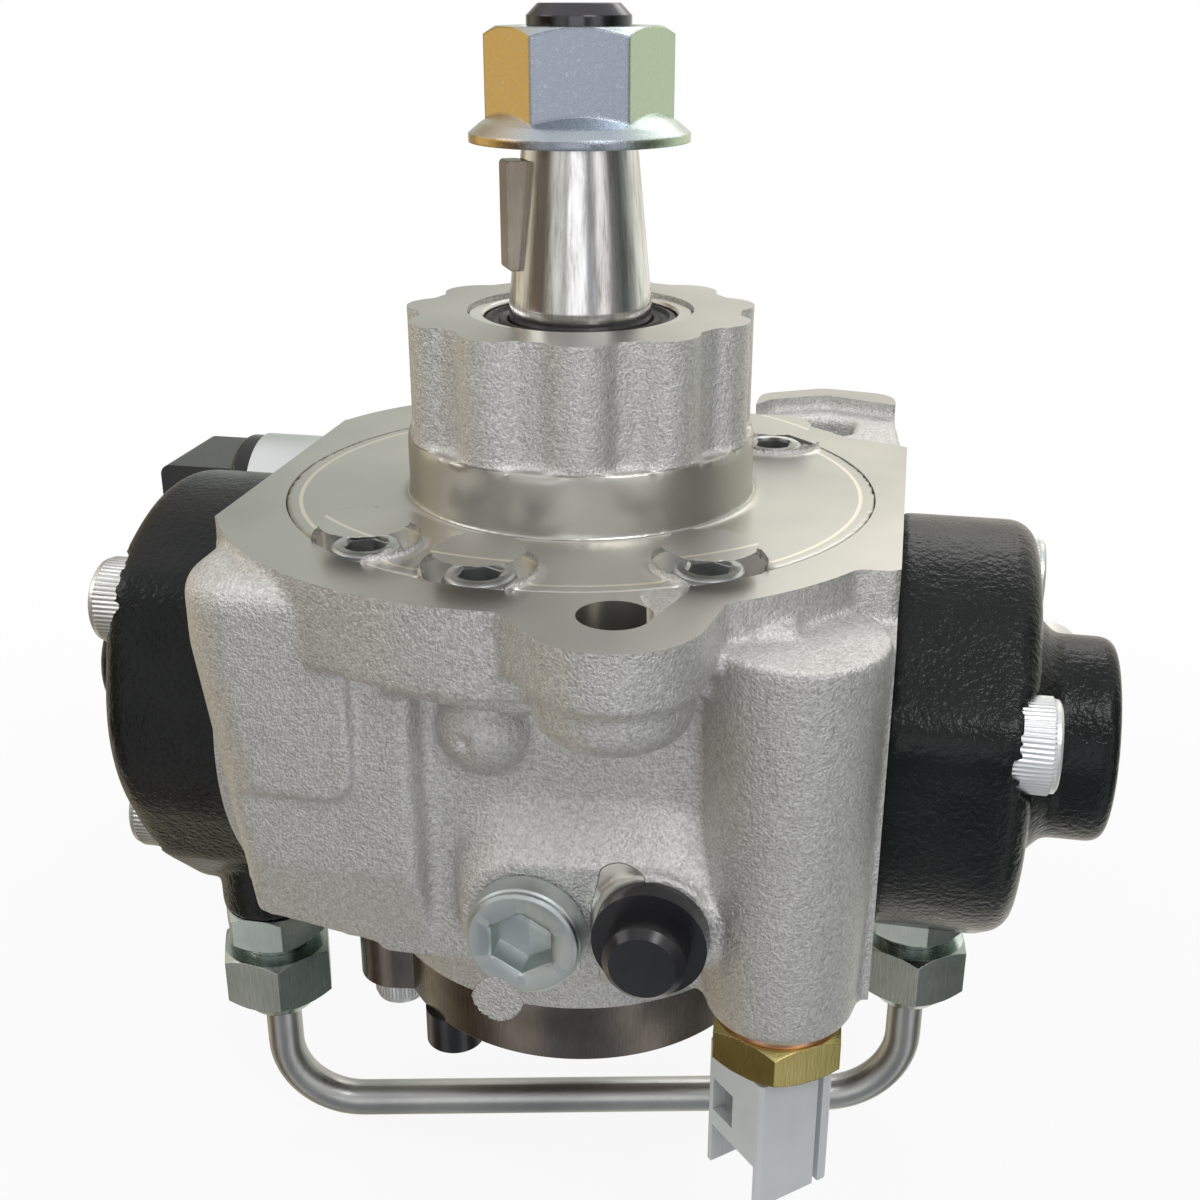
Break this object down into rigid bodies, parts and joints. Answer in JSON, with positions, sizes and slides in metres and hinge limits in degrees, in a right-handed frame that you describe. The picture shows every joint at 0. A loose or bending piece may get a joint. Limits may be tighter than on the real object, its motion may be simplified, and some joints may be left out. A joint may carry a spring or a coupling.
{
  "type": "diesel injection pump",
  "caption": "Two-plunger diesel injection pump with a flange, a keyed taper shaft, black side heads, a transfer pipe, a sensor and a rear feed pump.",
  "frame": {"origin": "on the shaft axis in the plane of the mounting flange", "axes": "+Z along the shaft towards the nut, X along the plungers, -Y towards the plug and the sensor"},
  "size_m": [0.1676, 0.1246, 0.184],
  "materials": {
    "cast_aluminium": "shot-blasted casting with machined faces",
    "black_paint": "satin black",
    "zinc": "bright zinc",
    "ground_steel": "ground",
    "bronze": "plain",
    "spring_steel": "oiled",
    "pipe_steel": "satin plated",
    "seal_rubber": "matt",
    "brass": "yellow passivated",
    "copper_washer": "plain",
    "grey_plastic": "moulded",
    "black_plastic": "moulded"
  },
  "bodies": {
    "housing": {"feed_cover": "ground_steel", "feed_cover_screws": "zinc", "feed_cover_seal": "seal_rubber", "feed_pump_housing": "ground_steel", "front_bearing": "ground_steel", "front_cover": "cast_aluminium", "front_cover_screws": "zinc", "front_cover_seal": "seal_rubber", "inlet_cap": "black_plastic", "left_delivery_spring": "spring_steel", "left_head": "black_paint", "left_head_bolts": "zinc", "left_head_seal": "seal_rubber", "left_plunger_spring": "spring_steel", "left_union_fitting": "zinc", "left_union_nut": "zinc", "metering_spring": "spring_steel", "metering_valve_body": "zinc", "metering_valve_connector": "black_plastic", "pump_body": "cast_aluminium", "rail_outlet_fitting": "zinc", "rear_bush": "ground_steel", "regulating_spring": "spring_steel", "regulator_plug": "zinc", "return_cap": "black_plastic", "right_delivery_spring": "spring_steel", "right_head": "black_paint", "right_head_bolts": "zinc", "right_head_seal": "seal_rubber", "right_plunger_spring": "spring_steel", "right_union_fitting": "zinc", "right_union_nut": "zinc", "sensor_connector": "grey_plastic", "sensor_terminals": "brass", "sensor_washer": "copper_washer", "shaft_oil_seal": "seal_rubber", "temperature_sensor": "brass", "thrust_washers": "ground_steel", "transfer_pipe": "pipe_steel"},
    "shaft": {"drive_shaft": "ground_steel", "shaft_key": "ground_steel", "shaft_nut": "zinc", "feed_inner_rotor": "ground_steel"},
    "cam_ring": {"ring_cam": "ground_steel", "ring_cam_bush": "bronze"},
    "outer_rotor": {"feed_outer_rotor": "ground_steel"},
    "right_plunger_set": {"right_plunger": "ground_steel", "right_tappet": "ground_steel"},
    "left_plunger_set": {"left_plunger": "ground_steel", "left_tappet": "ground_steel"},
    "right_suction": {"right_suction_valve": "ground_steel"},
    "left_suction": {"left_suction_valve": "ground_steel"},
    "right_delivery": {"right_delivery_ball": "ground_steel"},
    "left_delivery": {"left_delivery_ball": "ground_steel"},
    "regulator": {"regulating_piston": "ground_steel"},
    "needle": {"metering_needle": "ground_steel"}
  },
  "joints": [
    {"name": "shaft_spin", "type": "hinge", "parent": "housing", "child": "shaft", "pos_m": [0, 0, 0], "axis": [0, 0, 1], "continuous": true},
    {"name": "cam_ring_orbit", "type": "hinge", "parent": "shaft", "child": "cam_ring", "pos_m": [0, 0.0029, -0.034], "axis": [0, 0, 1], "continuous": true},
    {"name": "outer_rotor_spin", "type": "hinge", "parent": "housing", "child": "outer_rotor", "pos_m": [0.0016, 0, -0.0648], "axis": [0, 0, 1], "continuous": true},
    {"name": "right_plunger_stroke", "type": "slide", "parent": "housing", "child": "right_plunger_set", "axis": [-1, 0, 0], "range_m": [0, 0.0029], "deforming": ["right_plunger_spring"]},
    {"name": "left_plunger_stroke", "type": "slide", "parent": "housing", "child": "left_plunger_set", "axis": [1, 0, 0], "range_m": [0, 0.0029], "deforming": ["left_plunger_spring"]},
    {"name": "right_suction_lift", "type": "slide", "parent": "housing", "child": "right_suction", "axis": [-1, 0, 0], "range_m": [0, 0.0009], "stiffness_N_per_m": 300},
    {"name": "left_suction_lift", "type": "slide", "parent": "housing", "child": "left_suction", "axis": [1, 0, 0], "range_m": [0, 0.0009], "stiffness_N_per_m": 300},
    {"name": "right_delivery_lift", "type": "slide", "parent": "housing", "child": "right_delivery", "axis": [0, 0, -1], "range_m": [0, 0.0008], "stiffness_N_per_m": 300, "deforming": ["right_delivery_spring"]},
    {"name": "left_delivery_lift", "type": "slide", "parent": "housing", "child": "left_delivery", "axis": [0, 0, -1], "range_m": [0, 0.0008], "stiffness_N_per_m": 300, "deforming": ["left_delivery_spring"]},
    {"name": "regulator_stroke", "type": "slide", "parent": "housing", "child": "regulator", "axis": [0, -1, 0], "range_m": [0, 0.003], "stiffness_N_per_m": 1500, "deforming": ["regulating_spring"]},
    {"name": "needle_stroke", "type": "slide", "parent": "housing", "child": "needle", "axis": [-1, 0, 0], "range_m": [0, 0.0036], "stiffness_N_per_m": 800, "deforming": ["metering_spring"]}
  ],
  "couplings": [
    {"joint": "cam_ring_orbit", "follows": "shaft_spin", "ratio": -1},
    {"joint": "outer_rotor_spin", "follows": "shaft_spin", "ratio": 0.85714}
  ]
}
